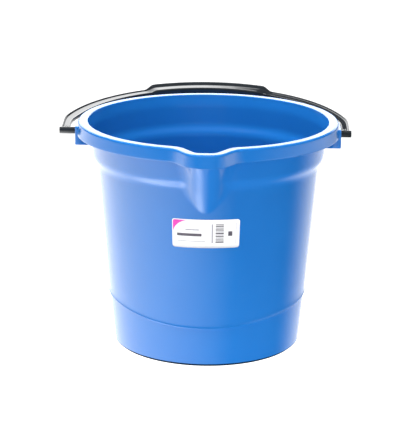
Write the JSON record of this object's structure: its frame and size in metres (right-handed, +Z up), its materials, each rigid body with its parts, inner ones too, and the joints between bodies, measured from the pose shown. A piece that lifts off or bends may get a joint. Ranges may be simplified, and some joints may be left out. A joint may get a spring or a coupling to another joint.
{
  "type": "florist bucket",
  "caption": "Tapered plastic florist bucket with a flanged rim, a pouring spout, a moulded bail handle on side pivots and a small label.",
  "frame": {"origin": "centre of the foot ring, on the surface that the bucket stands on", "axes": "+Z up, -Y towards the pouring spout, +Y towards the folded handle, X along the handle's pivot axis"},
  "size_m": [0.3378, 0.3512, 0.2731],
  "materials": {
    "bucket_plastic": "blue moulded polypropylene, satin outside with a very fine texture and faint flow marks",
    "handle_plastic": "black moulded plastic, glossy",
    "label_film": "white printed film with a magenta corner and plain grey marks, semi-gloss"
  },
  "bodies": {
    "bucket": {"bucket_body": "bucket_plastic", "label": "label_film"},
    "handle": {"bail_handle": "handle_plastic"}
  },
  "joints": [
    {"name": "handle_pivot", "type": "hinge", "parent": "bucket", "child": "handle", "pos_m": [0, 0, 0.24825], "axis": [1, 0, 0], "range_deg": [0, 165]}
  ]
}
